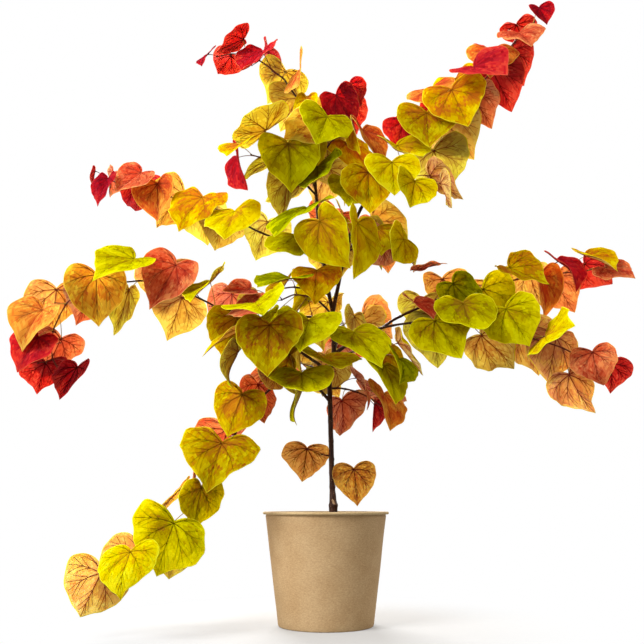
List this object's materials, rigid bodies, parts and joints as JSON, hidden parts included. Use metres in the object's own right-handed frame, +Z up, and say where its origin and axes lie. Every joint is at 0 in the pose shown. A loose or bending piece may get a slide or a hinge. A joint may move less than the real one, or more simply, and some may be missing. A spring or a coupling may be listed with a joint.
{
  "type": "potted redbud tree",
  "caption": "Young redbud tree in autumn leaf: a leaning stem that forks into leaders, spreading boughs and heart-shaped leaves, growing in a round tapered fibre pot.",
  "frame": {"origin": "centre of the pot's flat underside, on the surface that the pot stands on", "axes": "+Z up, +X to the right seen from the front, +Y to the back"},
  "size_m": [1.0291, 0.5851, 1.033],
  "materials": {
    "fibre_pot": "matt kraft fibre",
    "soil": "moist, crumbly",
    "bark": "smooth young bark",
    "foliage_green": "satin leaf",
    "foliage_gold": "satin leaf",
    "foliage_red": "satin leaf"
  },
  "bodies": {
    "root": {"pot": "fibre_pot", "potting_soil": "soil", "trunk": "bark", "leader_right": "bark", "leader_left": "bark", "bough_upper_left": "bark", "bough_mid_left": "bark", "bough_right": "bark", "bough_right_lower": "bark", "bough_lower_left": "bark", "bough_back": "bark", "bough_front": "bark", "foliage_top_right": "foliage_red", "foliage_top_left": "foliage_gold", "foliage_top_centre": "foliage_red", "foliage_upper_left": "foliage_red", "foliage_mid_left": "foliage_red", "foliage_right_upper": "foliage_red", "foliage_right_lower": "foliage_gold", "foliage_lower_left": "foliage_gold", "foliage_front_upper": "foliage_green", "foliage_front_high": "foliage_green", "foliage_crown_front": "foliage_red", "foliage_crown_right": "foliage_red", "foliage_centre_right": "foliage_red", "foliage_centre_left": "foliage_gold", "foliage_centre_front": "foliage_green", "foliage_front_middle": "foliage_green", "foliage_front_low_right": "foliage_green", "foliage_front_low_left": "foliage_green", "foliage_low_right": "foliage_red", "foliage_back_middle": "foliage_red", "foliage_back_low": "foliage_gold", "foliage_back_upper": "foliage_red", "foliage_back_high": "foliage_red", "foliage_stem_leaf_left": "foliage_red", "foliage_stem_leaf_right": "foliage_red"}
  },
  "joints": []
}
